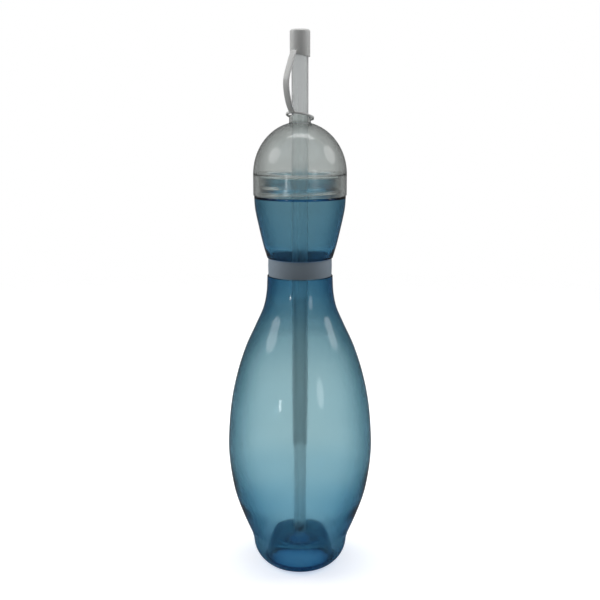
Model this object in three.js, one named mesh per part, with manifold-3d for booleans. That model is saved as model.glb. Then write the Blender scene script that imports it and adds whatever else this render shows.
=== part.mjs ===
// A drinking bottle in the shape of a bowling pin, with a grey band at its waist, a clear domed
// screw lid, a telescoping straw and a straw cap on a strap. Millimetres, +Z up. The origin is the
// centre of the circle that the bottle stands on, and every round piece shares the Z axis.

import * as THREE from "three";
import { mergeVertices } from "three/addons/utils/BufferGeometryUtils.js";
import Module from "manifold-3d";

const wasm = await Module();
wasm.setup();

// ---------------------------------------------------------------------------------------------
// Driving dimensions
// ---------------------------------------------------------------------------------------------

const GAP = 0.3; // clearance between pieces that touch
const ROUND_SIDES = 40; // facets round the bottle, band, gasket and lid
const TUBE_SIDES = 24; // facets round the straw, cap and ring
const BELLY_STEPS = 18; // facets up the long curves
const CONE_STEPS = 6;
const DOME_STEPS = 9;
const STRAP_STEPS = 14;
const SHORT_CURVE_STEPS = 4;
const SAME_PLACE = 1e-3; // points closer than this are one point

// Bottle
const WALL = 1.2;
const PUSH_UP_HEIGHT = 18; // the middle of the base is pushed up into a flat-topped dome
const PUSH_UP_FLAT_RADIUS = 17.5;
const STANDING_RING_INNER = 21.5;
const BASE_FILL = 2.4; // the plastic is this deep over the standing ring
const HEEL_ARC_RADIUS = 20; // big round corner between the standing ring and the heel
const HEEL_ARC_CENTRE = new THREE.Vector2(13.6, 17);
const HEEL_TOP = new THREE.Vector2(35.2, 23); // crease where the heel meets the belly
const LEDGE_HEIGHT = 265.5; // shoulder that the lid's skirt comes down to
const LEDGE_EDGE_RADIUS = 31.2;
const LEDGE_ROUNDING = 1;

// Waist groove and band
const BAND_HEIGHT = 12.2;
const BAND_BOTTOM = 210.8;
const BAND_RADIUS = 22;
const BAND_THICKNESS = 1.1;
const GROOVE_LIP_RADIUS = 22.6;
const GROOVE_RADIUS = BAND_RADIUS - BAND_THICKNESS - GAP;
const WAIST_HEIGHT = BAND_BOTTOM + BAND_HEIGHT / 2;
const WAIST_EXTRA_WALL = 1.8; // the blown wall is thickest where the pin is narrowest
const WAIST_SPREAD = 15; // height over which that extra wall fades out

// Threaded mouth
const NECK_RADIUS = 25;
const MOUTH_RADIUS = 23.2; // inside of the mouth
const MOUTH_HEIGHT = 278.3;
const MOUTH_ROUNDING = 0.6;
const THREAD_PITCH = 4.233; // six turns to the inch
const THREAD_START = 267.2; // height of the bottle's thread where it begins, on the +X side
const NECK_THREAD_TURNS = 1.4;
const NECK_THREAD_CENTRE = 25.15; // the thread is a rounded ridge, half sunk into the neck
const NECK_THREAD_RADIUS = 1.15;

// Lid
const LID_RADIUS = 31.75;
const LID_WALL = 1.8;
const DOME_START = 280; // height where the straight skirt turns into the dome
const DOME_RISE = 35; // half-axis of the dome's ellipse
const INNER_SKIRT_RADIUS = 26.8; // the inner skirt carries the lid's thread
const INNER_SKIRT_WALL = 1.5;
const INNER_SKIRT_BOTTOM = 266;
const LID_THREAD_START_TURN = 0.5; // begins opposite the neck's, so the two threads interleave
const LID_THREAD_TURNS = 1.2;
const LID_THREAD_CENTRE = 26.6;
const LID_THREAD_RADIUS = 1;
const WEB_INNER_RADIUS = 22.6; // the web joins the two skirts and presses on the gasket
const WEB_THICKNESS = 1.4;
const SPOUT_RADIUS = 7.3;
const SPOUT_BORE_RADIUS = 6;
const SPOUT_TOP = 319.5;
const SPOUT_CHAMFER = 0.4;

// Gasket
const GASKET_INNER_RADIUS = 23;
const GASKET_OUTER_RADIUS = 26.4;
const GASKET_THICKNESS = 1.1;

// Straw
const STRAW_RADIUS = 5.6;
const STRAW_BORE_RADIUS = 4.6;
const STRAW_TOP = 369.5;
const STRAW_BEVEL_TOP = 126; // the upper tube tapers from here down
const STRAW_BEVEL_RADIUS = 5;
const STRAW_UPPER_END = 87;
const STRAW_LOWER_RADIUS = 4.3;
const STRAW_LOWER_BORE_RADIUS = 3.6;
const STRAW_LOWER_TOP = 194.5;
const STRAW_LOWER_END = 20.8; // just above the dome of the base

// Cap, strap and ring
const CAP_RADIUS = 6.75;
const CAP_BORE_RADIUS = STRAW_RADIUS + GAP;
const CAP_BOTTOM = 358;
const CAP_TOP = 374.5;
const CAP_ROOF = 2;
const CAP_CHAMFER = 1;
const STRAP_WIDTH = 4.6;
const STRAP_THICKNESS = 1.3;
const STRAP_BEARING = THREE.MathUtils.degToRad(-125); // side of the cap that the strap is on
const STRAP_BOW = [
  // its middle, as (distance from the axis, height), from the cap down to just above the ring
  [7.7, 360.4],
  [11.1, 353.5],
  [15.7, 341],
  [13.6, 329],
];
const RING_TILT = THREE.MathUtils.degToRad(16); // the strap holds its side of the ring up
const RING_HEIGHT = 318.6;
const RING_RADIUS = 9.6;
const RING_BORE_RADIUS = 8.2;
const RING_THICKNESS = 1.5;

// ---------------------------------------------------------------------------------------------
// Materials
// ---------------------------------------------------------------------------------------------

function plastic(color, roughness, opacity = 1) {
  return new THREE.MeshStandardMaterial({
    color,
    roughness,
    metalness: 0,
    opacity,
    transparent: opacity < 1,
  });
}

const BLUE_CLEAR = plastic(0x4d94b5, 0.12, 0.6);
const SMOKE_CLEAR = plastic(0xa9adac, 0.1, 0.5);
const GREY_BAND = plastic(0x5c666e, 0.6);
const FROSTED_WHITE = plastic(0xb4bcbc, 0.35, 0.8);
const SOFT_WHITE = plastic(0xd2d4d4, 0.45);
const SEAL_RUBBER = plastic(0xc4c8c8, 0.55);

// ---------------------------------------------------------------------------------------------
// Helpers
// ---------------------------------------------------------------------------------------------

const point = (radius, height) => new THREE.Vector2(radius, height);

// Revolves an outline of (radius, height) points round the Z axis.
function revolve(outline, sides) {
  const geometry = new THREE.LatheGeometry(outline, sides);
  geometry.rotateX(Math.PI / 2);
  return geometry;
}

function withoutRepeats(outline) {
  return outline.filter((here, i) => i === 0 || here.distanceTo(outline[i - 1]) > SAME_PLACE);
}

// A plain ring or tube with a rectangular section.
function hoop(innerRadius, outerRadius, bottom, top, sides) {
  const section = [
    point(innerRadius, bottom),
    point(outerRadius, bottom),
    point(outerRadius, top),
    point(innerRadius, top),
    point(innerRadius, bottom),
  ];
  return revolve(section, sides);
}

// Turns a geometry into a solid that can be joined to another.
function toSolid(geometry) {
  const bare = geometry.clone();
  bare.deleteAttribute("normal");
  bare.deleteAttribute("uv");
  const welded = mergeVertices(bare, SAME_PLACE / 10);
  const corners = welded.index.array;
  const kept = [];
  for (let i = 0; i < corners.length; i += 3) {
    const [a, b, c] = corners.slice(i, i + 3);
    if (a !== b && b !== c && c !== a) kept.push(a, b, c);
  }
  const mesh = new wasm.Mesh({
    numProp: 3,
    vertProperties: new Float32Array(welded.attributes.position.array),
    triVerts: new Uint32Array(kept),
  });
  return new wasm.Manifold(mesh);
}

function fromSolid(solid) {
  const mesh = solid.getMesh();
  const geometry = new THREE.BufferGeometry();
  geometry.setAttribute("position", new THREE.BufferAttribute(mesh.vertProperties, 3));
  geometry.setIndex(new THREE.BufferAttribute(mesh.triVerts, 1));
  geometry.computeVertexNormals();
  return geometry;
}

// The centre line of a right-handed thread.
class Helix extends THREE.Curve {
  constructor(radius, startHeight, startTurn, turns) {
    super();
    Object.assign(this, { radius, startHeight, startTurn, turns });
  }

  getPoint(t, target = new THREE.Vector3()) {
    const angle = 2 * Math.PI * (this.startTurn + t * this.turns);
    const height = this.startHeight + t * this.turns * THREAD_PITCH;
    return target.set(this.radius * Math.cos(angle), this.radius * Math.sin(angle), height);
  }
}

function threadRidge(helix, ridgeRadius) {
  const section = new THREE.Shape().absarc(0, 0, ridgeRadius, 0, 2 * Math.PI);
  return new THREE.ExtrudeGeometry(section, {
    curveSegments: SHORT_CURVE_STEPS,
    steps: Math.round(helix.turns * ROUND_SIDES),
    extrudePath: helix,
  });
}

// ---------------------------------------------------------------------------------------------
// Bottle and band
// ---------------------------------------------------------------------------------------------

// Outside of the base, from the middle of the push-up to the crease above the heel.
function baseOutline() {
  const startAngle = -Math.asin(HEEL_ARC_CENTRE.y / HEEL_ARC_RADIUS);
  const path = new THREE.Path();
  path.moveTo(0, PUSH_UP_HEIGHT);
  path.lineTo(PUSH_UP_FLAT_RADIUS, PUSH_UP_HEIGHT);
  path.quadraticCurveTo(STANDING_RING_INNER, PUSH_UP_HEIGHT, STANDING_RING_INNER, 0);
  path.absarc(HEEL_ARC_CENTRE.x, HEEL_ARC_CENTRE.y, HEEL_ARC_RADIUS, startAngle, 0);
  return path.getPoints(SHORT_CURVE_STEPS);
}

// Outside of the belly, from the crease above the heel to the lower lip of the waist groove.
function bellyOutline() {
  const through = [
    HEEL_TOP,
    point(41.4, 38),
    point(47.2, 56),
    point(50.5, 78),
    point(50.8, 96),
    point(48.6, 120),
    point(44.2, 141),
    point(38, 160),
    point(30.7, 176),
    point(25.5, 188),
    point(23.2, 199),
    point(GROOVE_LIP_RADIUS, BAND_BOTTOM - GAP),
  ];
  return new THREE.SplineCurve(through).getPoints(BELLY_STEPS);
}

// Outside of the cone between the waist and the lid.
function coneOutline() {
  const through = [
    point(GROOVE_LIP_RADIUS, BAND_BOTTOM + BAND_HEIGHT + GAP),
    point(25.2, 232),
    point(28, 244),
    point(30.5, 256),
    point(LEDGE_EDGE_RADIUS, LEDGE_HEIGHT - LEDGE_ROUNDING),
  ];
  return new THREE.SplineCurve(through).getPoints(CONE_STEPS);
}

function wallThickness(height) {
  const fromWaist = (height - WAIST_HEIGHT) / WAIST_SPREAD;
  return WALL + WAIST_EXTRA_WALL * Math.exp(-fromWaist * fromWaist);
}

// Moves every point of an outline inwards by the wall's thickness there, and fills the bottom.
function insideOf(outline) {
  return outline.map((here, i) => {
    const before = outline[Math.max(i - 1, 0)];
    const after = outline[Math.min(i + 1, outline.length - 1)];
    const along = after.clone().sub(before).normalize();
    const inward = point(-along.y, along.x).multiplyScalar(wallThickness(here.y));
    return here.clone().add(inward).max(point(0, BASE_FILL));
  });
}

// Outside of the mouth, from the shoulder ledge round the rim to the inside of the neck.
function mouthOutline() {
  const path = new THREE.Path();
  const inset = LEDGE_EDGE_RADIUS - LEDGE_ROUNDING;
  path.absarc(inset, LEDGE_HEIGHT - LEDGE_ROUNDING, LEDGE_ROUNDING, 0, Math.PI / 2);
  path.lineTo(NECK_RADIUS, LEDGE_HEIGHT);
  path.lineTo(NECK_RADIUS, MOUTH_HEIGHT - MOUTH_ROUNDING);
  path.lineTo(NECK_RADIUS - MOUTH_ROUNDING, MOUTH_HEIGHT);
  path.lineTo(MOUTH_RADIUS, MOUTH_HEIGHT);
  path.lineTo(MOUTH_RADIUS, LEDGE_HEIGHT - WALL);
  return path.getPoints(SHORT_CURVE_STEPS / 2);
}

// The wall is in two pieces that meet behind the band. This is the lower one.
function bellyGeometry() {
  const base = baseOutline();
  const belly = bellyOutline();
  const top = WAIST_HEIGHT - GAP / 2;
  const inside = insideOf([...base, ...belly.slice(1)]).reverse();
  inside.at(-1).x = 0;
  const rim = [
    point(GROOVE_RADIUS, belly.at(-1).y),
    point(GROOVE_RADIUS, top),
    point(inside[0].x, top),
  ];
  return revolve(withoutRepeats([...base, ...belly, ...rim, ...inside]), ROUND_SIDES);
}

// The cone above the waist, with the shoulder ledge, the neck and its thread.
function neckGeometry() {
  const cone = coneOutline();
  const inside = insideOf(cone).slice(0, -1).reverse();
  const bottom = WAIST_HEIGHT + GAP / 2;
  const rim = [
    point(inside.at(-1).x, bottom),
    point(GROOVE_RADIUS, bottom),
    point(GROOVE_RADIUS, cone[0].y),
  ];
  const outline = withoutRepeats([...rim, ...cone, ...mouthOutline(), ...inside, rim[0]]);
  const shell = toSolid(revolve(outline, ROUND_SIDES));
  const helix = new Helix(NECK_THREAD_CENTRE, THREAD_START, 0, NECK_THREAD_TURNS);
  return fromSolid(shell.add(toSolid(threadRidge(helix, NECK_THREAD_RADIUS))));
}

function bandGeometry() {
  const inner = BAND_RADIUS - BAND_THICKNESS;
  return hoop(inner, BAND_RADIUS, BAND_BOTTOM, BAND_BOTTOM + BAND_HEIGHT, ROUND_SIDES);
}

// ---------------------------------------------------------------------------------------------
// Lid and gasket
// ---------------------------------------------------------------------------------------------

// Part of the dome's elliptical outline between two radii, for its outside (inset 0) or inside.
function domeArc(fromRadius, toRadius, inset) {
  const widest = LID_RADIUS - inset;
  const from = Math.acos(fromRadius / widest);
  const to = Math.acos(toRadius / widest);
  const points = [];
  for (let i = 0; i <= DOME_STEPS; i += 1) {
    const angle = from + ((to - from) * i) / DOME_STEPS;
    const height = DOME_START + (DOME_RISE - inset) * Math.sin(angle);
    points.push(point(widest * Math.cos(angle), height));
  }
  return points;
}

// Radius of the dome's inside at a height.
function domeInsideRadius(height) {
  const rise = (height - DOME_START) / (DOME_RISE - LID_WALL);
  return (LID_RADIUS - LID_WALL) * Math.sqrt(1 - rise * rise);
}

function lidGeometry() {
  const skirtBottom = LEDGE_HEIGHT + GAP;
  const skirtInside = LID_RADIUS - LID_WALL;
  const innerSkirtOutside = INNER_SKIRT_RADIUS + INNER_SKIRT_WALL;
  const webTop = DOME_START + WEB_THICKNESS;
  const outline = [
    point(skirtInside, skirtBottom),
    point(LID_RADIUS, skirtBottom),
    ...domeArc(LID_RADIUS, SPOUT_RADIUS, 0),
    point(SPOUT_RADIUS, SPOUT_TOP - SPOUT_CHAMFER),
    point(SPOUT_RADIUS - SPOUT_CHAMFER, SPOUT_TOP),
    point(SPOUT_BORE_RADIUS, SPOUT_TOP),
    ...domeArc(SPOUT_BORE_RADIUS, domeInsideRadius(webTop), LID_WALL),
    point(WEB_INNER_RADIUS, webTop),
    point(WEB_INNER_RADIUS, DOME_START),
    point(INNER_SKIRT_RADIUS, DOME_START),
    point(INNER_SKIRT_RADIUS, INNER_SKIRT_BOTTOM),
    point(innerSkirtOutside, INNER_SKIRT_BOTTOM),
    point(innerSkirtOutside, DOME_START),
    point(skirtInside, DOME_START),
    point(skirtInside, skirtBottom),
  ];
  const shell = toSolid(revolve(withoutRepeats(outline), ROUND_SIDES));
  const startTurn = LID_THREAD_START_TURN;
  const helix = new Helix(LID_THREAD_CENTRE, THREAD_START, startTurn, LID_THREAD_TURNS);
  return fromSolid(shell.add(toSolid(threadRidge(helix, LID_THREAD_RADIUS))));
}

function gasketGeometry() {
  const bottom = MOUTH_HEIGHT + GAP;
  const top = bottom + GASKET_THICKNESS;
  return hoop(GASKET_INNER_RADIUS, GASKET_OUTER_RADIUS, bottom, top, ROUND_SIDES);
}

// ---------------------------------------------------------------------------------------------
// Straw
// ---------------------------------------------------------------------------------------------

function upperStrawGeometry() {
  const outline = [
    point(STRAW_BORE_RADIUS, STRAW_UPPER_END),
    point(STRAW_BEVEL_RADIUS, STRAW_UPPER_END),
    point(STRAW_RADIUS, STRAW_BEVEL_TOP),
    point(STRAW_RADIUS, STRAW_TOP),
    point(STRAW_BORE_RADIUS, STRAW_TOP),
    point(STRAW_BORE_RADIUS, STRAW_UPPER_END),
  ];
  return revolve(outline, TUBE_SIDES);
}

function lowerStrawGeometry() {
  const bore = STRAW_LOWER_BORE_RADIUS;
  return hoop(bore, STRAW_LOWER_RADIUS, STRAW_LOWER_END, STRAW_LOWER_TOP, TUBE_SIDES);
}

// ---------------------------------------------------------------------------------------------
// Cap, strap and ring
// ---------------------------------------------------------------------------------------------

function capGeometry() {
  const outline = [
    point(CAP_BORE_RADIUS, CAP_BOTTOM),
    point(CAP_RADIUS, CAP_BOTTOM),
    point(CAP_RADIUS, CAP_TOP - CAP_CHAMFER),
    point(CAP_RADIUS - CAP_CHAMFER, CAP_TOP),
    point(0, CAP_TOP),
    point(0, CAP_TOP - CAP_ROOF),
    point(CAP_BORE_RADIUS, CAP_TOP - CAP_ROOF),
    point(CAP_BORE_RADIUS, CAP_BOTTOM),
  ];
  return revolve(outline, TUBE_SIDES);
}

// The strap leaves the cap's rim, bows outwards and comes back to the ring's raised side. It is
// drawn flat, in the plane through the axis, and then given its width.
function strapGeometry() {
  const ringRise = RING_RADIUS * Math.sin(RING_TILT) + (RING_THICKNESS / 2) * Math.cos(RING_TILT);
  const centreLine = new THREE.SplineCurve([
    ...STRAP_BOW.map(([distance, height]) => point(distance, height)),
    point((RING_BORE_RADIUS + RING_RADIUS) / 2, RING_HEIGHT + ringRise + GAP),
  ]);
  const middle = centreLine.getSpacedPoints(STRAP_STEPS);
  const outer = [];
  const inner = [];
  middle.forEach((here, i) => {
    const along = centreLine.getTangentAt(i / STRAP_STEPS);
    const sideways = point(-along.y, along.x).multiplyScalar(STRAP_THICKNESS / 2);
    outer.push(here.clone().add(sideways));
    inner.push(here.clone().sub(sideways));
  });
  const ribbon = new THREE.Shape([...outer, ...inner.reverse()]);
  const geometry = new THREE.ExtrudeGeometry(ribbon, { depth: STRAP_WIDTH, bevelEnabled: false });
  geometry.translate(0, 0, -STRAP_WIDTH / 2);
  geometry.rotateX(Math.PI / 2);
  return geometry;
}

function ringGeometry() {
  const half = RING_THICKNESS / 2;
  return hoop(RING_BORE_RADIUS, RING_RADIUS, -half, half, TUBE_SIDES);
}

// ---------------------------------------------------------------------------------------------
// Assembly
// ---------------------------------------------------------------------------------------------

function piece(name, geometry, material) {
  const mesh = new THREE.Mesh(geometry, material);
  mesh.name = name;
  return mesh;
}

// The strap and the ring are turned together, so that the strap meets the ring's raised side.
function tether() {
  const group = new THREE.Group();
  const ring = piece("strap_ring", ringGeometry(), SOFT_WHITE);
  ring.position.z = RING_HEIGHT;
  ring.rotation.y = -RING_TILT;
  group.add(ring);
  group.add(piece("cap_strap", strapGeometry(), SOFT_WHITE));
  group.rotation.z = STRAP_BEARING;
  return group;
}

const bottle = new THREE.Group();
bottle.add(piece("bottle_body", bellyGeometry(), BLUE_CLEAR));
bottle.add(piece("bottle_neck", neckGeometry(), BLUE_CLEAR));
bottle.add(piece("neck_band", bandGeometry(), GREY_BAND));
bottle.add(piece("lid_gasket", gasketGeometry(), SEAL_RUBBER));
bottle.add(piece("dome_lid", lidGeometry(), SMOKE_CLEAR));
bottle.add(piece("straw_upper", upperStrawGeometry(), FROSTED_WHITE));
bottle.add(piece("straw_lower", lowerStrawGeometry(), FROSTED_WHITE));
bottle.add(piece("straw_cap", capGeometry(), SOFT_WHITE));
bottle.add(tether());

export default bottle;
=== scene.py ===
"""A blue bowling-pin drinking bottle with a domed screw lid, a telescoping straw and a straw cap.

Outlines are lists of (radius, height) points in millimetres, turned round the Z axis. The bottle
stands on z = 0, and the camera looks along +Y and a little down.
"""

import math

import bmesh
import bpy
from mathutils import Matrix, Vector


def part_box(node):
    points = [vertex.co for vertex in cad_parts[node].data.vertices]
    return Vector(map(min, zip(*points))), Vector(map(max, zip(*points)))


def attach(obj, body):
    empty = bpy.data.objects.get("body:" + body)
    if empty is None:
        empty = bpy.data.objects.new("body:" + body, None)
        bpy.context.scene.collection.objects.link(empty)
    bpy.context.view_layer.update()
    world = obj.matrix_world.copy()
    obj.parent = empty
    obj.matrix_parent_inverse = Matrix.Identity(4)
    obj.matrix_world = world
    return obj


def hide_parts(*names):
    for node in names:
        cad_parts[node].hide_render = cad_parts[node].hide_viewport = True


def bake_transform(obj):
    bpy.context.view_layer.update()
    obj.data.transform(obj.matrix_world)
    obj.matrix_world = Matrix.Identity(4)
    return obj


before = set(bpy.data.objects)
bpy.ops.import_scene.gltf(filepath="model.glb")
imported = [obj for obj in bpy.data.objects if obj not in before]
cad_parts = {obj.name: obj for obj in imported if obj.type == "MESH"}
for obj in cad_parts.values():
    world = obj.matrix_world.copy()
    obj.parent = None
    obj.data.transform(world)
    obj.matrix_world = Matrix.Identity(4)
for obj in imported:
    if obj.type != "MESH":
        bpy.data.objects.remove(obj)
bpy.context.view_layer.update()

MM = 0.001
SAME_PLACE = 1e-3  # points closer than this, in millimetres, are one point
ON_AXIS = 1e-6  # a point nearer the axis than this, in millimetres, is on it
MOST_OF_A_SIDE = 0.45  # a rounded corner takes at most this share of a side
CREASE_ANGLE = 40  # an edge sharper than this, in degrees, isn't smoothed over


# ---------------------------------------------------------------------------------------------
# Sizes, in millimetres. The CAD nodes in model.glb give the outer ones.
# ---------------------------------------------------------------------------------------------


def low(node):
    """Lowest corner of a CAD node, in millimetres."""
    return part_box(node)[0] / MM


def high(node):
    """Highest corner of a CAD node, in millimetres."""
    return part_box(node)[1] / MM


GAP = 0.3
ROUNDING_ROOM = 1  # length of wall left plain beside a rounded corner

# Facets round each piece, and steps along the long curves
BOTTLE_SIDES = 144
LID_SIDES = 128
RING_SIDES = 96
TUBE_SIDES = 64
PUSH_UP_STEPS = 30
HEEL_STEPS = 20
BELLY_STEPS = 110
CONE_STEPS = 32
DOME_OUTSIDE_STEPS = 70
DOME_INSIDE_STEPS = 60
STRAP_STEPS = 40

# Bottle
PUSH_UP_HEIGHT = 18
PUSH_UP_FLAT_RADIUS = 17.5
NUB_RADIUS = 1.4  # mark of the mould in the middle of the push-up
NUB_BEVEL = 0.4
NUB_DEPTH = 0.5
STANDING_RING_INNER = 21.5
BASE_FILL = 2.4
HEEL_ARC_RADIUS = 20
HEEL_ARC_CENTRE = (13.6, 17)
HEEL_TOP = (35.2, 23)
GROOVE_LIP_RADIUS = 22.6
BAND_BOTTOM = low("neck_band").z
BAND_TOP = high("neck_band").z
BAND_RADIUS = high("neck_band").x
BAND_THICKNESS = 1.1
BAND_CROWN = 0.12  # the middle of the band stands this much proud of its edges
BAND_ROUNDING = 0.35
SKIRT_BOTTOM = low("dome_lid").z
LEDGE_HEIGHT = SKIRT_BOTTOM - GAP
LEDGE_EDGE_RADIUS = 31.2
LEDGE_THICKNESS = 0.8
LEDGE_ROUNDING = 0.8
NECK_RADIUS = 25
MOUTH_RADIUS = 23.2
MOUTH_HEIGHT = high("bottle_neck").z
MOUTH_ROUNDING = 0.6

# The wall as (height, thickness): thin in the belly, thick at the base, waist and cone
WALL = (
    (0, 1.4),
    (14, 1.7),
    (24, 2.1),
    (36, 2.1),
    (52, 1.7),
    (80, 1.1),
    (150, 1.1),
    (173, 1.4),
    (193, 2.2),
    (204, 2.7),
    (217, 3.2),
    (232, 2.0),
    (264, 1.75),
)

# Threads: one right-handed helix, with the lid's ridge half a pitch from the neck's
THREAD_PITCH = 4.233
THREAD_START = 267.2
NECK_THREAD_TURNS = (0.0, 1.4)
LID_THREAD_TURNS = (0.5, 1.7)
THREAD_DEPTH = 1.3
THREAD_HALF_WIDTH = 1.25
THREAD_FADE = 0.06  # share of a turn over which each end runs out
THREAD_ROW = 0.25  # height of one row of faces on a threaded wall
LID_THREAD_SHARE = 0.9  # the lid's ridge is this much of the neck's

# Lid
LID_RADIUS = high("dome_lid").x
LID_WALL = 1.8
SKIRT_ROUNDING = 0.5
DOME_START = 280
DOME_RISE = 35
INNER_SKIRT_RADIUS = 26.8
INNER_SKIRT_WALL = 1.1
INNER_SKIRT_BOTTOM = 266
INNER_SKIRT_ROUNDING = 0.4
WEB_INNER_RADIUS = 22.6
WEB_THICKNESS = 0.5
WEB_ROUNDING = 0.2
SPOUT_RADIUS = 7.3
SPOUT_BORE_RADIUS = 6
SPOUT_TOP = high("dome_lid").z
SPOUT_ROUNDING = 0.6

# Gasket
GASKET_INNER_RADIUS = 23
GASKET_RADIUS = high("lid_gasket").x
GASKET_BOTTOM = low("lid_gasket").z
GASKET_TOP = high("lid_gasket").z
GASKET_ROUNDING = 0.4

# Straw
STRAW_RADIUS = high("straw_upper").x
STRAW_BORE_RADIUS = 4.6
STRAW_TOP = high("straw_upper").z
STRAW_BEVEL_TOP = 126
STRAW_BEVEL_RADIUS = 5
STRAW_UPPER_END = low("straw_upper").z
STRAW_ROUNDING = 0.3
STRAW_LOWER_RADIUS = high("straw_lower").x
STRAW_LOWER_BORE_RADIUS = 3.6
STRAW_LOWER_TOP = high("straw_lower").z
STRAW_LOWER_END = low("straw_lower").z
STRAW_LOWER_ROUNDING = 0.25

# Cap, strap and ring
CAP_RADIUS = high("straw_cap").x
CAP_BORE_RADIUS = 5.9
CAP_BOTTOM = low("straw_cap").z
CAP_TOP = high("straw_cap").z
CAP_ROOF = 2
CAP_CHAMFER = 1
CAP_ROUNDING = 0.35
CAP_RIM_SLANT = 0.16
CAP_RIM_REACH = 8  # the slant fades out over this height
STRAP_WIDTH = 4.6
STRAP_THICKNESS = 1.3
STRAP_ROUNDING = 0.5
STRAP_BEARING = math.radians(-125)
RING_TILT = math.radians(16)
RING_HEIGHT = 318.6
RING_RADIUS = 9.6
RING_BORE_RADIUS = 8.2
RING_THICKNESS = 1.5
RING_ROUNDING = 0.5

# Middle of the strap as (distance from the axis, height), from inside the cap's wall to the ring
STRAP_ROOT_RADIUS = CAP_RADIUS - 0.1
STRAP_BOW = (
    (STRAP_ROOT_RADIUS, CAP_BOTTOM + 2.6),
    (STRAP_ROOT_RADIUS + 1.2, CAP_BOTTOM + 1),
    (STRAP_ROOT_RADIUS + 4.3, CAP_BOTTOM - 4.5),
    (15.7, 341),
    (13.6, 329),
    (RING_RADIUS - 0.2, RING_HEIGHT + (RING_RADIUS - 0.7) * math.sin(RING_TILT) + 0.4),
)

# Camera: distance from the bottle's axis, height, angle down and lens, in metres and degrees
CAMERA_DISTANCE = 0.615
CAMERA_HEIGHT = 0.317
CAMERA_DOWN = 11.4
CAMERA_LENS = 54
CAMERA_NEAR = 0.01
CAMERA_FAR = 100

# Brightness of the room and whiteness of the floor, as the camera sees them, as they show
# through clear plastic, as they light a surface, and as a glossy surface mirrors them. The glow
# lifts the floor to white for the camera and leaves a faint shadow.
ROOM = (1.0, 0.46, 0.12, 0.08)
FLOOR_WHITE = (0.8, 0.92, 0.15, 0.1)
FLOOR_GLOW = (0.5, 0.0, 0.0, 0.0)

# The floor is white as far out as the first radius and gone at the second, in metres
FLOOR_SOLID = 0.35
FLOOR_EDGE = 1.3
FLOOR_HALF_WIDTH = 2
FLOOR_DROP = 0.0002

# Times that light is followed through the clear walls
LIGHT_BOUNCES = 32

# Soft panels as (name, place, width, height, power, mirrored), in metres and watts. A mirrored
# one shows as a highlight on glossy surfaces.
LOOK_AT = (0, 0, 0.2)
PANELS = (
    ("top_panel", (0, 0, 1.6), 2.4, 2.4, 13, False),
    ("left_wash", (-1.3, 0.5, 0.5), 1.0, 1.0, 10, False),
    ("right_wash", (1.3, 0.5, 0.5), 1.0, 1.0, 5.5, False),
    ("left_glow", (-1.02, -0.21, 0.89), 0.66, 0.6, 2.4, True),
    ("right_glow", (1.03, 0.04, 0.83), 0.66, 0.6, 2.4, True),
    ("top_glow", (0.05, 0, 1.6), 0.25, 1.3, 4.8, True),
    ("left_glint", (-0.67, -1.05, 0.23), 0.08, 0.12, 0.2, True),
    ("right_glint", (0.7, -1.0, 0.35), 0.25, 0.3, 0.45, True),
)


# ---------------------------------------------------------------------------------------------
# Outlines
# ---------------------------------------------------------------------------------------------


def arc(centre, radius, start, end, steps):
    """Points on a circle from one angle to another, in degrees."""
    points = []
    for i in range(steps + 1):
        angle = math.radians(start + (end - start) * i / steps)
        points.append((centre[0] + radius * math.cos(angle), centre[1] + radius * math.sin(angle)))
    return points


def spline(through, steps):
    """A smooth curve through points, the same one as the CAD part's."""
    ends = [through[0], *through, through[-1]]
    points = []
    for i in range(steps + 1):
        place = (len(through) - 1) * i / steps
        k = min(int(place), len(through) - 2)
        t = place - k
        around = [Vector(p) for p in ends[k : k + 4]]
        before = (around[2] - around[0]) / 2
        after = (around[3] - around[1]) / 2
        step = around[1] - around[2]
        p = around[1] + before * t
        p += (-3 * step - 2 * before - after) * t**2
        p += (2 * step + before + after) * t**3
        points.append(tuple(p))
    return points


def rounded(corners, radius, steps=4, closed=True):
    """A polygon with each corner rounded off, by less than half of its shorter side."""
    points = []
    count = len(corners)
    for i, corner in enumerate(corners):
        if not closed and i in (0, count - 1):
            points.append(tuple(corner))
            continue
        here = Vector(corner)
        towards_last = Vector(corners[i - 1]) - here
        towards_next = Vector(corners[(i + 1) % count]) - here
        shorter = min(towards_last.length, towards_next.length)
        reach = min(radius, shorter * MOST_OF_A_SIDE)
        start = here + towards_last.normalized() * reach
        end = here + towards_next.normalized() * reach
        for k in range(steps + 1):
            t = k / steps
            p = start * (1 - t) ** 2 + here * 2 * t * (1 - t) + end * t**2
            points.append(tuple(p))
    return points


def on_dome(radius, inset):
    """The point at a radius on the dome's elliptical outline, moved in by an inset."""
    angle = math.acos(radius / (LID_RADIUS - inset))
    return (radius, DOME_START + (DOME_RISE - inset) * math.sin(angle))


def dome_arc(start_radius, end_radius, inset, steps):
    """Part of the dome's elliptical outline, between two radii and moved in by an inset."""
    widest = LID_RADIUS - inset
    start = math.acos(start_radius / widest)
    end = math.acos(end_radius / widest)
    points = []
    for i in range(steps + 1):
        angle = start + (end - start) * i / steps
        height = DOME_START + (DOME_RISE - inset) * math.sin(angle)
        points.append((widest * math.cos(angle), height))
    return points


# ---------------------------------------------------------------------------------------------
# Meshes
# ---------------------------------------------------------------------------------------------


def add_piece(name, mesh, material, nodes):
    """Puts a finished mesh (in metres) in the scene in place of CAD nodes."""
    obj = bpy.data.objects.new(name, mesh)
    bpy.context.scene.collection.objects.link(obj)
    mesh.materials.append(material)
    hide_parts(*nodes)
    return obj


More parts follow.
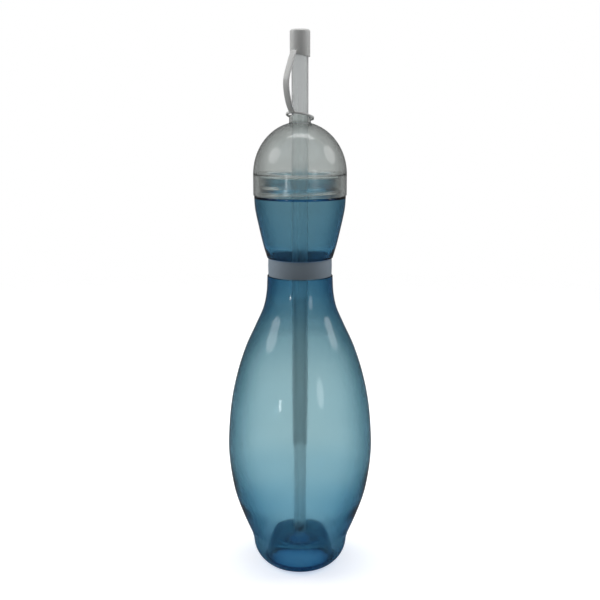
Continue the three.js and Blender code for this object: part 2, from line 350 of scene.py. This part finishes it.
def make_mesh(name, points, faces):
    """A closed smooth-shaded mesh from millimetre points, with its faces pointing out."""
    mesh = bpy.data.meshes.new(name)
    mesh.from_pydata([Vector(p) * MM for p in points], [], faces)
    shape = bmesh.new()
    shape.from_mesh(mesh)
    bmesh.ops.recalc_face_normals(shape, faces=shape.faces)
    shape.to_mesh(mesh)
    shape.free()
    mesh.shade_smooth()
    mesh.set_sharp_from_angle(angle=math.radians(CREASE_ANGLE))
    return mesh


def revolve(name, outline, sides, shift=None):
    """Turns an outline round the Z axis. It closes on itself, or starts and ends on the axis.

    shift, if given, takes a point's radius, height and angle and gives its new radius.
    """
    points = []
    rows = []
    for radius, height in outline:
        if radius < ON_AXIS:
            rows.append([len(points)])
            points.append((0, 0, height))
            continue
        rows.append(list(range(len(points), len(points) + sides)))
        for i in range(sides):
            angle = 2 * math.pi * i / sides
            r = shift(radius, height, angle) if shift else radius
            points.append((r * math.cos(angle), r * math.sin(angle), height))
    on_axis = len(rows[0]) == 1
    faces = []
    for k in range(len(rows) - on_axis):
        this = rows[k]
        other = rows[(k + 1) % len(rows)]
        for i in range(sides):
            j = (i + 1) % sides
            if len(this) == 1:
                faces.append((this[0], other[i], other[j]))
            elif len(other) == 1:
                faces.append((this[j], this[i], other[0]))
            else:
                faces.append((this[i], other[i], other[j], this[j]))
    return make_mesh(name, points, faces)


def without_repeats(outline):
    """Drops a point that sits on the one before it."""
    kept = [outline[0]]
    for p in outline[1:]:
        if math.dist(p, kept[-1]) > SAME_PLACE:
            kept.append(p)
    return kept


def smooth_step(value):
    """Eases from 0 to 1."""
    t = min(max(value, 0), 1)
    return t * t * (3 - 2 * t)


def thread_height(height, angle, turns):
    """How far the thread stands up at a height and angle, from 0 to THREAD_DEPTH."""
    stands = 0
    first, last = turns
    for whole in range(math.ceil(last) + 1):
        turn = angle / (2 * math.pi) + whole
        if turn < first or turn > last:
            continue
        middle = THREAD_START + (turn - first) * THREAD_PITCH
        across = abs(height - middle) / THREAD_HALF_WIDTH
        if across < 1:
            fade_in = smooth_step((turn - first) / THREAD_FADE)
            fade_out = smooth_step((last - turn) / THREAD_FADE)
            ridge = THREAD_DEPTH * math.cos(across * math.pi / 2) ** 2
            stands = max(stands, ridge * (fade_in * fade_out))
    return stands


def threaded_wall(radius, start, end):
    """Evenly spaced points up or down a wall, close enough together to carry a thread."""
    rows = round(abs(end - start) / THREAD_ROW)
    step = math.copysign(THREAD_ROW, end - start)
    return [(radius, start + i * step) for i in range(1, rows)]


# ---------------------------------------------------------------------------------------------
# Materials
# ---------------------------------------------------------------------------------------------


# Fractal noise stays mostly between these two values
NOISE_LOW = 0.3
NOISE_HIGH = 0.7

# How far clear plastic turns away from the eye where its painted edge shade starts and where it is
# full, from 0 facing the eye to 1 edge-on
EDGE_SHADE_START = 0.15
EDGE_SHADE_FULL = 0.7


def new_material(name):
    """A material with its Principled shader, and its node tree."""
    material = bpy.data.materials.new(name)
    material.use_nodes = True
    return material, material.node_tree, material.node_tree.nodes["Principled BSDF"]


def surface_noise(tree, scale, detail, stretch=(1, 1, 1)):
    """Fractal noise fixed to the object, as a value from 0 to 1."""
    coordinates = tree.nodes.new("ShaderNodeTexCoord")
    mapping = tree.nodes.new("ShaderNodeMapping")
    mapping.inputs["Scale"].default_value = stretch
    noise = tree.nodes.new("ShaderNodeTexNoise")
    noise.inputs["Scale"].default_value = scale
    noise.inputs["Detail"].default_value = detail
    tree.links.new(coordinates.outputs["Object"], mapping.inputs["Vector"])
    tree.links.new(mapping.outputs["Vector"], noise.inputs["Vector"])
    return noise.outputs["Fac"]


def spread(tree, value, lowest, highest):
    """Maps a noise value to a range."""
    node = tree.nodes.new("ShaderNodeMapRange")
    node.inputs["From Min"].default_value = NOISE_LOW
    node.inputs["From Max"].default_value = NOISE_HIGH
    node.inputs["To Min"].default_value = lowest
    node.inputs["To Max"].default_value = highest
    tree.links.new(value, node.inputs["Value"])
    return node.outputs["Result"]


def add_bump(tree, shader, value, depth):
    """Raises the surface by a value times a depth in metres."""
    bump = tree.nodes.new("ShaderNodeBump")
    bump.inputs["Strength"].default_value = 1
    bump.inputs["Distance"].default_value = depth
    tree.links.new(value, bump.inputs["Height"])
    tree.links.new(bump.outputs["Normal"], shader.inputs["Normal"])


def let_light_in(tree, shader, tint):
    """Lets lamp light through clear plastic to what is behind it."""
    output = tree.nodes["Material Output"]
    clear = tree.nodes.new("ShaderNodeBsdfTransparent")
    clear.inputs["Color"].default_value = (*tint, 1)
    path = tree.nodes.new("ShaderNodeLightPath")
    mix = tree.nodes.new("ShaderNodeMixShader")
    tree.links.new(path.outputs["Is Shadow Ray"], mix.inputs["Fac"])
    tree.links.new(shader.outputs["BSDF"], mix.inputs[1])
    tree.links.new(clear.outputs["BSDF"], mix.inputs[2])
    tree.links.new(mix.outputs["Shader"], output.inputs["Surface"])


def paint_edge_shade(tree, shader, face, edge):
    """Paints edge shade: the colour goes from one tint where the surface faces the eye to the edge
    tint where it turns away, in place of the longer slanted path through the wall.
    """
    turned = tree.nodes.new("ShaderNodeLayerWeight")
    turned.inputs["Blend"].default_value = 0.5
    share = tree.nodes.new("ShaderNodeMapRange")
    share.interpolation_type = "SMOOTHSTEP"
    share.inputs["From Min"].default_value = EDGE_SHADE_START
    share.inputs["From Max"].default_value = EDGE_SHADE_FULL
    tree.links.new(turned.outputs["Facing"], share.inputs["Value"])
    mix = tree.nodes.new("ShaderNodeMix")
    mix.data_type = "RGBA"
    mix.inputs["A"].default_value = (*face, 1)
    mix.inputs["B"].default_value = (*edge, 1)
    tree.links.new(share.outputs["Result"], mix.inputs["Factor"])
    tree.links.new(mix.outputs["Result"], shader.inputs["Base Color"])


def clear_plastic(name, ior, roughness, absorbed, density, ripple, face, edge):
    """Clear tinted plastic. The tint is in its depth, so thick walls and edges are darker; the
    edges are also darkened by a painted edge shade on the colour.
    """
    material, tree, shader = new_material(name)
    # Painted edge shade: the colour darkens where the surface turns away from the eye
    paint_edge_shade(tree, shader, face, edge)
    shader.inputs["Transmission Weight"].default_value = 1
    shader.inputs["IOR"].default_value = ior
    smears = surface_noise(tree, scale=60, detail=4)
    tree.links.new(spread(tree, smears, *roughness), shader.inputs["Roughness"])
    waves = surface_noise(tree, scale=28, detail=2)
    add_bump(tree, shader, waves, ripple)
    depth = tree.nodes.new("ShaderNodeVolumeAbsorption")
    depth.inputs["Color"].default_value = (*absorbed, 1)
    depth.inputs["Density"].default_value = density
    tree.links.new(depth.outputs["Volume"], tree.nodes["Material Output"].inputs["Volume"])
    let_light_in(tree, shader, tint=(0.95, 0.97, 0.98))
    return material


def band_plastic():
    """Satin grey plastic with a fine moulded grain."""
    material, tree, shader = new_material("band_grey")
    shader.inputs["Base Color"].default_value = (0.29, 0.355, 0.42, 1)
    shader.inputs["IOR"].default_value = 1.5
    grain = surface_noise(tree, scale=2200, detail=4)
    roughness = spread(tree, grain, lowest=0.42, highest=0.6)
    tree.links.new(roughness, shader.inputs["Roughness"])
    add_bump(tree, shader, grain, depth=0.00004)
    return material


def frosted_plastic(name, color, see_through):
    """Milky straw plastic, drawn out lengthways, half see-through."""
    material, tree, shader = new_material(name)
    shader.inputs["Base Color"].default_value = (*color, 1)
    shader.inputs["Transmission Weight"].default_value = see_through
    shader.inputs["IOR"].default_value = 1.45
    drawn = surface_noise(tree, scale=500, detail=3, stretch=(1, 1, 0.02))
    roughness = spread(tree, drawn, lowest=0.26, highest=0.32)
    tree.links.new(roughness, shader.inputs["Roughness"])
    add_bump(tree, shader, drawn, depth=0.000006)
    let_light_in(tree, shader, tint=(0.7, 0.7, 0.7))
    return material


def soft_white_plastic(name, color, grain_scale):
    """Soft white moulded plastic that light sinks into a little."""
    material, tree, shader = new_material(name)
    shader.inputs["Base Color"].default_value = (*color, 1)
    shader.inputs["IOR"].default_value = 1.5
    shader.inputs["Subsurface Weight"].default_value = 0.12
    shader.inputs["Subsurface Radius"].default_value = (0.0016, 0.0015, 0.0014)
    shader.inputs["Subsurface Scale"].default_value = 1
    grain = surface_noise(tree, scale=grain_scale, detail=4)
    roughness = spread(tree, grain, lowest=0.3, highest=0.46)
    tree.links.new(roughness, shader.inputs["Roughness"])
    add_bump(tree, shader, grain, depth=0.00003)
    return material


# The edge colours below are painted edge shade, darker where the walls turn away from the eye.
BLUE = clear_plastic(
    "bottle_blue",
    ior=1.57,
    roughness=(0.07, 0.12),
    absorbed=(0.096, 0.573, 0.798),
    density=520,
    ripple=0.000015,
    face=(1, 0.97, 0.89),
    edge=(0.34, 0.46, 0.46),
)
SMOKE = clear_plastic(
    "lid_smoke",
    ior=1.5,
    roughness=(0.1, 0.16),
    absorbed=(0.46, 0.50, 0.48),
    density=25,
    ripple=0.00003,
    face=(0.97, 1, 0.985),
    edge=(0.6, 0.62, 0.61),
)
BAND = band_plastic()
FROSTED = frosted_plastic("straw_frosted", color=(0.96, 0.98, 0.98), see_through=0.97)
FROSTED_INNER = frosted_plastic("straw_frosted_inner", color=(0.88, 0.9, 0.9), see_through=0.94)
CAP_WHITE = soft_white_plastic("cap_white", color=(0.70, 0.71, 0.70), grain_scale=1500)
SEAL = soft_white_plastic("seal_white", color=(0.72, 0.74, 0.74), grain_scale=1200)


# ---------------------------------------------------------------------------------------------
# Bottle and band
# ---------------------------------------------------------------------------------------------


def wall_thickness(height):
    """Thickness of the blown wall at a height, eased between the values in WALL."""
    for (z0, t0), (z1, t1) in zip(WALL, WALL[1:]):
        if height <= z1:
            return t0 + (t1 - t0) * smooth_step((height - z0) / (z1 - z0))
    return WALL[-1][1]


def inside_of(outline):
    """Moves every point of an outline inwards by the wall's thickness there."""
    inside = []
    for i, here in enumerate(outline):
        before = Vector(outline[max(i - 1, 0)])
        after = Vector(outline[min(i + 1, len(outline) - 1)])
        along = (after - before).normalized()
        inward = Vector((-along.y, along.x)) * wall_thickness(here[1])
        moved = Vector(here) + inward
        if moved.y > BASE_FILL:
            inside.append((max(moved.x, 0), moved.y))
    return inside


def base_outline():
    """Underside and heel: push-up with a moulding nub, standing ring and the big round corner."""
    push_up = [
        (0, PUSH_UP_HEIGHT - NUB_DEPTH),
        (NUB_RADIUS - NUB_BEVEL, PUSH_UP_HEIGHT - NUB_DEPTH),
        (NUB_RADIUS, PUSH_UP_HEIGHT),
    ]
    corner = Vector((STANDING_RING_INNER, PUSH_UP_HEIGHT))
    flat_end = Vector((PUSH_UP_FLAT_RADIUS, PUSH_UP_HEIGHT))
    ring = Vector((STANDING_RING_INNER, 0))
    for i in range(PUSH_UP_STEPS + 1):
        t = i / PUSH_UP_STEPS
        push_up.append(tuple(flat_end * (1 - t) ** 2 + corner * 2 * t * (1 - t) + ring * t**2))
    start = -math.degrees(math.asin(HEEL_ARC_CENTRE[1] / HEEL_ARC_RADIUS))
    heel = arc(HEEL_ARC_CENTRE, HEEL_ARC_RADIUS, start, 0, HEEL_STEPS)
    return [*push_up, *heel]


def belly_outline():
    """Outside of the bottle from the crease above the heel to the waist groove."""
    through = [
        HEEL_TOP,
        (41.4, 38),
        (47.2, 56),
        (50.5, 78),
        (50.8, 96),
        (48.6, 120),
        (44.2, 141),
        (38, 160),
        (30.7, 176),
        (25.5, 188),
        (23.2, 199),
        (GROOVE_LIP_RADIUS, BAND_BOTTOM - GAP),
    ]
    return spline(through, BELLY_STEPS)


def cone_outline():
    """Outside of the cone between the waist and the lid."""
    through = [
        (GROOVE_LIP_RADIUS, BAND_TOP + GAP),
        (25.2, 232),
        (28, 244),
        (30.5, 256),
        (LEDGE_EDGE_RADIUS, LEDGE_HEIGHT - ROUNDING_ROOM),
    ]
    return spline(through, CONE_STEPS)


def mouth_outline():
    """Shoulder ledge, threaded neck, rim and the inside of the mouth."""
    neck_start = LEDGE_HEIGHT + ROUNDING_ROOM
    neck_end = MOUTH_HEIGHT - ROUNDING_ROOM
    ledge = rounded(
        [
            (LEDGE_EDGE_RADIUS, LEDGE_HEIGHT - ROUNDING_ROOM),
            (LEDGE_EDGE_RADIUS, LEDGE_HEIGHT),
            (NECK_RADIUS, LEDGE_HEIGHT),
            (NECK_RADIUS, neck_start),
        ],
        LEDGE_ROUNDING,
        closed=False,
    )
    rim = rounded(
        [
            (NECK_RADIUS, neck_end),
            (NECK_RADIUS, MOUTH_HEIGHT),
            (MOUTH_RADIUS, MOUTH_HEIGHT),
            (MOUTH_RADIUS, LEDGE_HEIGHT - LEDGE_THICKNESS),
        ],
        MOUTH_ROUNDING,
        closed=False,
    )
    return [*ledge, *threaded_wall(NECK_RADIUS, neck_start, neck_end), *rim]


def neck_thread(radius, height, angle):
    """Raises the thread on the outside of the neck and leaves the rest of the bottle round."""
    if abs(radius - NECK_RADIUS) > SAME_PLACE:
        return radius
    return radius + thread_height(height, angle, NECK_THREAD_TURNS)


def make_bottle():
    base = base_outline()
    belly = belly_outline()
    cone = cone_outline()
    groove_radius = BAND_RADIUS - BAND_THICKNESS - GAP
    groove = rounded(
        [belly[-1], (groove_radius, belly[-1][1]), (groove_radius, cone[0][1]), cone[0]],
        BAND_ROUNDING,
        closed=False,
    )
    silhouette = [*base, *belly[1:-1], *cone]
    inside = inside_of(silhouette)[:-1]
    inside[0] = (0, inside[0][1])
    outline = [*base, *belly, *groove, *cone, *mouth_outline(), *reversed(inside)]
    mesh = revolve("bottle_shell", without_repeats(outline), BOTTLE_SIDES, neck_thread)
    nodes = ["bottle_body", "bottle_neck"]
    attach(add_piece("bottle_shell", mesh, BLUE, nodes), "bottle")


def make_band():
    inner = BAND_RADIUS - BAND_THICKNESS
    edge = BAND_RADIUS - BAND_CROWN
    corners = [
        (inner, BAND_BOTTOM),
        (edge, BAND_BOTTOM),
        (BAND_RADIUS, (BAND_BOTTOM + BAND_TOP) / 2),
        (edge, BAND_TOP),
        (inner, BAND_TOP),
    ]
    mesh = revolve("waist_band", rounded(corners, BAND_ROUNDING), BOTTLE_SIDES)
    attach(add_piece("waist_band", mesh, BAND, ["neck_band"]), "bottle")


# ---------------------------------------------------------------------------------------------
# Lid and gasket
# ---------------------------------------------------------------------------------------------


LID_INSIDE = LID_RADIUS - LID_WALL
WEB_EDGE = LID_INSIDE - 0.1  # the dome's inside runs down to the web here
WEB_TOP = DOME_START + WEB_THICKNESS
THREAD_TOP = DOME_START - 2 * ROUNDING_ROOM


def lid_thread(radius, height, angle):
    """Raises the thread on the inside of the inner skirt and leaves the rest of the lid round."""
    if abs(radius - INNER_SKIRT_RADIUS) > SAME_PLACE:
        return radius
    return radius - thread_height(height, angle, LID_THREAD_TURNS) * LID_THREAD_SHARE


def skirt_outline():
    """Bottom edge of the outer skirt, from its inside to its outside."""
    return rounded(
        [
            (LID_INSIDE, SKIRT_BOTTOM + 2 * ROUNDING_ROOM),
            (LID_INSIDE, SKIRT_BOTTOM),
            (LID_RADIUS, SKIRT_BOTTOM),
            (LID_RADIUS, SKIRT_BOTTOM + 2 * ROUNDING_ROOM),
        ],
        SKIRT_ROUNDING,
        closed=False,
    )


def spout_outline():
    """Foot of the spout on the dome, over its top and back to the dome's inside."""
    return rounded(
        [
            on_dome(SPOUT_RADIUS + SPOUT_ROUNDING, 0),
            on_dome(SPOUT_RADIUS, 0),
            (SPOUT_RADIUS, SPOUT_TOP),
            (SPOUT_BORE_RADIUS, SPOUT_TOP),
            on_dome(SPOUT_BORE_RADIUS, LID_WALL),
        ],
        SPOUT_ROUNDING,
        closed=False,
    )


def web_outline():
    """The web between the skirts, from the dome's inside over its inner edge to the thread."""
    return rounded(
        [
            (WEB_EDGE, WEB_TOP + ROUNDING_ROOM),
            (WEB_EDGE, WEB_TOP),
            (WEB_INNER_RADIUS, WEB_TOP),
            (WEB_INNER_RADIUS, DOME_START),
            (INNER_SKIRT_RADIUS, DOME_START),
            (INNER_SKIRT_RADIUS, THREAD_TOP),
        ],
        WEB_ROUNDING,
        closed=False,
    )


def inner_skirt_outline():
    """Bottom of the inner skirt, up its outside, under the web and down the outer skirt."""
    outside = INNER_SKIRT_RADIUS + INNER_SKIRT_WALL
    return rounded(
        [
            (INNER_SKIRT_RADIUS, INNER_SKIRT_BOTTOM + ROUNDING_ROOM),
            (INNER_SKIRT_RADIUS, INNER_SKIRT_BOTTOM),
            (outside, INNER_SKIRT_BOTTOM),
            (outside, DOME_START),
            (LID_INSIDE, DOME_START),
            (LID_INSIDE, SKIRT_BOTTOM + 3 * ROUNDING_ROOM),
        ],
        INNER_SKIRT_ROUNDING,
        closed=False,
    )


def make_lid():
    outside_end = SPOUT_RADIUS + ROUNDING_ROOM
    inside_start = SPOUT_BORE_RADIUS + ROUNDING_ROOM
    thread_end = INNER_SKIRT_BOTTOM + ROUNDING_ROOM
    outline = [
        *skirt_outline(),
        *dome_arc(LID_RADIUS, outside_end, 0, DOME_OUTSIDE_STEPS),
        *spout_outline(),
        *dome_arc(inside_start, WEB_EDGE, LID_WALL, DOME_INSIDE_STEPS),
        *web_outline(),
        *threaded_wall(INNER_SKIRT_RADIUS, THREAD_TOP, thread_end),
        *inner_skirt_outline(),
    ]
    mesh = revolve("lid_dome", without_repeats(outline), LID_SIDES, lid_thread)
    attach(add_piece("lid_dome", mesh, SMOKE, ["dome_lid"]), "lid")


def make_gasket():
    corners = [
        (GASKET_INNER_RADIUS, GASKET_BOTTOM),
        (GASKET_RADIUS, GASKET_BOTTOM),
        (GASKET_RADIUS, GASKET_TOP),
        (GASKET_INNER_RADIUS, GASKET_TOP),
    ]
    mesh = revolve("seal_ring", rounded(corners, GASKET_ROUNDING), RING_SIDES)
    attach(add_piece("seal_ring", mesh, SEAL, ["lid_gasket"]), "lid_carrier")


# ---------------------------------------------------------------------------------------------
# Straw
# ---------------------------------------------------------------------------------------------


def make_upper_straw():
    corners = [
        (STRAW_BORE_RADIUS, STRAW_UPPER_END),
        (STRAW_BEVEL_RADIUS, STRAW_UPPER_END),
        (STRAW_RADIUS, STRAW_BEVEL_TOP),
        (STRAW_RADIUS, STRAW_TOP),
        (STRAW_BORE_RADIUS, STRAW_TOP),
    ]
    mesh = revolve("straw_outer_tube", rounded(corners, STRAW_ROUNDING), TUBE_SIDES)
    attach(add_piece("straw_outer_tube", mesh, FROSTED, ["straw_upper"]), "straw")


def make_lower_straw():
    corners = [
        (STRAW_LOWER_BORE_RADIUS, STRAW_LOWER_END),
        (STRAW_LOWER_RADIUS, STRAW_LOWER_END),
        (STRAW_LOWER_RADIUS, STRAW_LOWER_TOP),
        (STRAW_LOWER_BORE_RADIUS, STRAW_LOWER_TOP),
    ]
    mesh = revolve("straw_inner_tube", rounded(corners, STRAW_LOWER_ROUNDING), TUBE_SIDES)
    tube = add_piece("straw_inner_tube", mesh, FROSTED_INNER, ["straw_lower"])
    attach(tube, "inner_straw")


# ---------------------------------------------------------------------------------------------
# Cap, strap and ring
# ---------------------------------------------------------------------------------------------


def make_cap():
    outline = rounded(
        [
            (0, CAP_TOP),
            (CAP_RADIUS - CAP_CHAMFER, CAP_TOP),
            (CAP_RADIUS, CAP_TOP - CAP_CHAMFER),
            (CAP_RADIUS, CAP_BOTTOM),
            (CAP_BORE_RADIUS, CAP_BOTTOM),
            (CAP_BORE_RADIUS, CAP_TOP - CAP_ROOF),
            (0, CAP_TOP - CAP_ROOF),
        ],
        CAP_ROUNDING,
        closed=False,
    )
    mesh = revolve("straw_end_cap", outline, TUBE_SIDES)
    slant_rim(mesh)
    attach(add_piece("straw_end_cap", mesh, CAP_WHITE, ["straw_cap"]), "cap")


def slant_rim(mesh):
    """Tips the cap's open rim so that it is higher on the left than on the right."""
    for v in mesh.vertices:
        share = 1 - smooth_step((v.co.z - CAP_BOTTOM * MM) / (CAP_RIM_REACH * MM))
        v.co.z -= v.co.x * CAP_RIM_SLANT * share


def make_ring():
    half = RING_THICKNESS / 2
    corners = [
        (RING_BORE_RADIUS, -half),
        (RING_RADIUS, -half),
        (RING_RADIUS, half),
        (RING_BORE_RADIUS, half),
    ]
    mesh = revolve("strap_end_ring", rounded(corners, RING_ROUNDING), RING_SIDES)
    tilt = Matrix.Rotation(-RING_TILT, 4, "Y")
    turn = Matrix.Rotation(STRAP_BEARING, 4, "Z")
    mesh.transform(Matrix.Translation((0, 0, RING_HEIGHT * MM)) @ turn @ tilt)
    ring = add_piece("strap_end_ring", mesh, CAP_WHITE, ["strap_ring"])
    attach(ring, "tether_ring")


def strap_section():
    """The ribbon's section as (across, thick) points round its middle."""
    half_width = STRAP_WIDTH / 2
    half_thick = STRAP_THICKNESS / 2
    corners = [
        (-half_width, -half_thick),
        (half_width, -half_thick),
        (half_width, half_thick),
        (-half_width, half_thick),
    ]
    return rounded(corners, STRAP_ROUNDING, steps=3)


def tube_faces(rows, around):
    """Faces of a closed tube whose points come in rows of the same length, with both ends."""
    faces = []
    for i in range(rows - 1):
        for k in range(around):
            a = i * around + k
            b = i * around + (k + 1) % around
            faces.append((a, b, b + around, a + around))
    faces.append(tuple(range(around)))
    faces.append(tuple(range((rows - 1) * around, rows * around)))
    return faces


def make_strap():
    """A ribbon with rounded edges along the bow."""
    section = strap_section()
    middle = spline(STRAP_BOW, STRAP_STEPS)
    out = Vector((math.cos(STRAP_BEARING), math.sin(STRAP_BEARING), 0))
    across = Vector((-out.y, out.x, 0))
    up = Vector((0, 0, 1))
    points = []
    for i, (radius, height) in enumerate(middle):
        before = middle[max(i - 1, 0)]
        after = middle[min(i + 1, len(middle) - 1)]
        along = (Vector(after) - Vector(before)).normalized()
        thick_way = out * -along.y + up * along.x
        centre = out * radius + up * height
        for wide, thick in section:
            points.append(centre + across * wide + thick_way * thick)
    mesh = make_mesh("cap_tie", points, tube_faces(len(middle), len(section)))
    strap = add_piece("cap_tie", mesh, CAP_WHITE, ["cap_strap"])
    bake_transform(strap)


# ---------------------------------------------------------------------------------------------
# Camera, floor and light
# ---------------------------------------------------------------------------------------------


def add_camera():
    data = bpy.data.cameras.new("camera")
    data.lens = CAMERA_LENS
    data.clip_start = CAMERA_NEAR
    data.clip_end = CAMERA_FAR
    camera = bpy.data.objects.new("camera", data)
    camera.location = (0, -CAMERA_DISTANCE, CAMERA_HEIGHT)
    camera.rotation_euler = (math.radians(90 - CAMERA_DOWN), 0, 0)
    bpy.context.scene.collection.objects.link(camera)
    bpy.context.scene.camera = camera


def by_ray(tree, camera, through, lighting, mirrored):
    """A brightness that depends on how the light gets to the camera.

    It has one value for what the camera sees directly, one for what shows through clear plastic,
    one for the light that falls on a surface, and one for what a glossy surface mirrors.
    """
    path = tree.nodes.new("ShaderNodeLightPath")
    value = mirrored
    for ray, level in (
        ("Is Diffuse Ray", lighting),
        ("Is Transmission Ray", through),
        ("Is Camera Ray", camera),
    ):
        mix = tree.nodes.new("ShaderNodeMix")
        tree.links.new(path.outputs[ray], mix.inputs["Factor"])
        if isinstance(value, float):
            mix.inputs["A"].default_value = value
        else:
            tree.links.new(value, mix.inputs["A"])
        mix.inputs["B"].default_value = level
        value = mix.outputs["Result"]
    return value


def floor_material():
    """White that fades out with the distance from the bottle."""
    material, tree, shader = new_material("floor_white")
    tree.links.new(by_ray(tree, *FLOOR_WHITE), shader.inputs["Base Color"])
    shader.inputs["Roughness"].default_value = 0.9
    shader.inputs["Specular IOR Level"].default_value = 0
    shader.inputs["Emission Color"].default_value = (1, 1, 1, 1)
    tree.links.new(by_ray(tree, *FLOOR_GLOW), shader.inputs["Emission Strength"])
    coordinates = tree.nodes.new("ShaderNodeTexCoord")
    distance = tree.nodes.new("ShaderNodeVectorMath")
    distance.operation = "LENGTH"
    tree.links.new(coordinates.outputs["Object"], distance.inputs[0])
    fade = tree.nodes.new("ShaderNodeMapRange")
    fade.interpolation_type = "SMOOTHSTEP"
    fade.inputs["From Min"].default_value = FLOOR_SOLID
    fade.inputs["From Max"].default_value = FLOOR_EDGE
    fade.inputs["To Min"].default_value = 1
    fade.inputs["To Max"].default_value = 0
    tree.links.new(distance.outputs["Value"], fade.inputs["Value"])
    tree.links.new(fade.outputs["Result"], shader.inputs["Alpha"])
    return material


def add_floor():
    """A white sheet just under the bottle that fades out into the backdrop."""
    half = FLOOR_HALF_WIDTH
    corners = [(-half, -half, 0), (half, -half, 0), (half, half, 0), (-half, half, 0)]
    mesh = bpy.data.meshes.new("floor")
    mesh.from_pydata(corners, [], [(0, 1, 2, 3)])
    mesh.materials.append(floor_material())
    floor = bpy.data.objects.new("floor", mesh)
    floor.location.z = -FLOOR_DROP
    bpy.context.scene.collection.objects.link(floor)


def add_world():
    """A white backdrop for the camera; a dimmer room for the light that reaches the bottle."""
    world = bpy.data.worlds.new("studio")
    bpy.context.scene.world = world
    world.use_nodes = True
    tree = world.node_tree
    background = tree.nodes["Background"]
    background.inputs["Color"].default_value = (1, 1, 1, 1)
    tree.links.new(by_ray(tree, *ROOM), background.inputs["Strength"])


def add_panel(name, place, width, height, power, mirrored):
    """A soft light panel that faces the middle of the bottle."""
    data = bpy.data.lights.new(name, "AREA")
    data.shape = "ELLIPSE"
    data.size = width
    data.size_y = height
    data.energy = power
    light = bpy.data.objects.new(name, data)
    light.location = place
    towards = Vector(LOOK_AT) - Vector(place)
    light.rotation_euler = towards.to_track_quat("-Z", "Y").to_euler()
    light.visible_camera = False
    light.visible_transmission = False
    light.visible_glossy = mirrored
    bpy.context.scene.collection.objects.link(light)


def set_quality():
    scene = bpy.context.scene
    scene.view_settings.view_transform = "Standard"
    scene.cycles.use_denoising = True
    scene.cycles.max_bounces = LIGHT_BOUNCES
    scene.cycles.transmission_bounces = LIGHT_BOUNCES
    scene.cycles.transparent_max_bounces = LIGHT_BOUNCES


add_camera()
add_floor()
add_world()
for panel in PANELS:
    add_panel(*panel)
set_quality()
make_bottle()
make_band()
make_lid()
make_gasket()
make_upper_straw()
make_lower_straw()
make_cap()
make_ring()
make_strap()
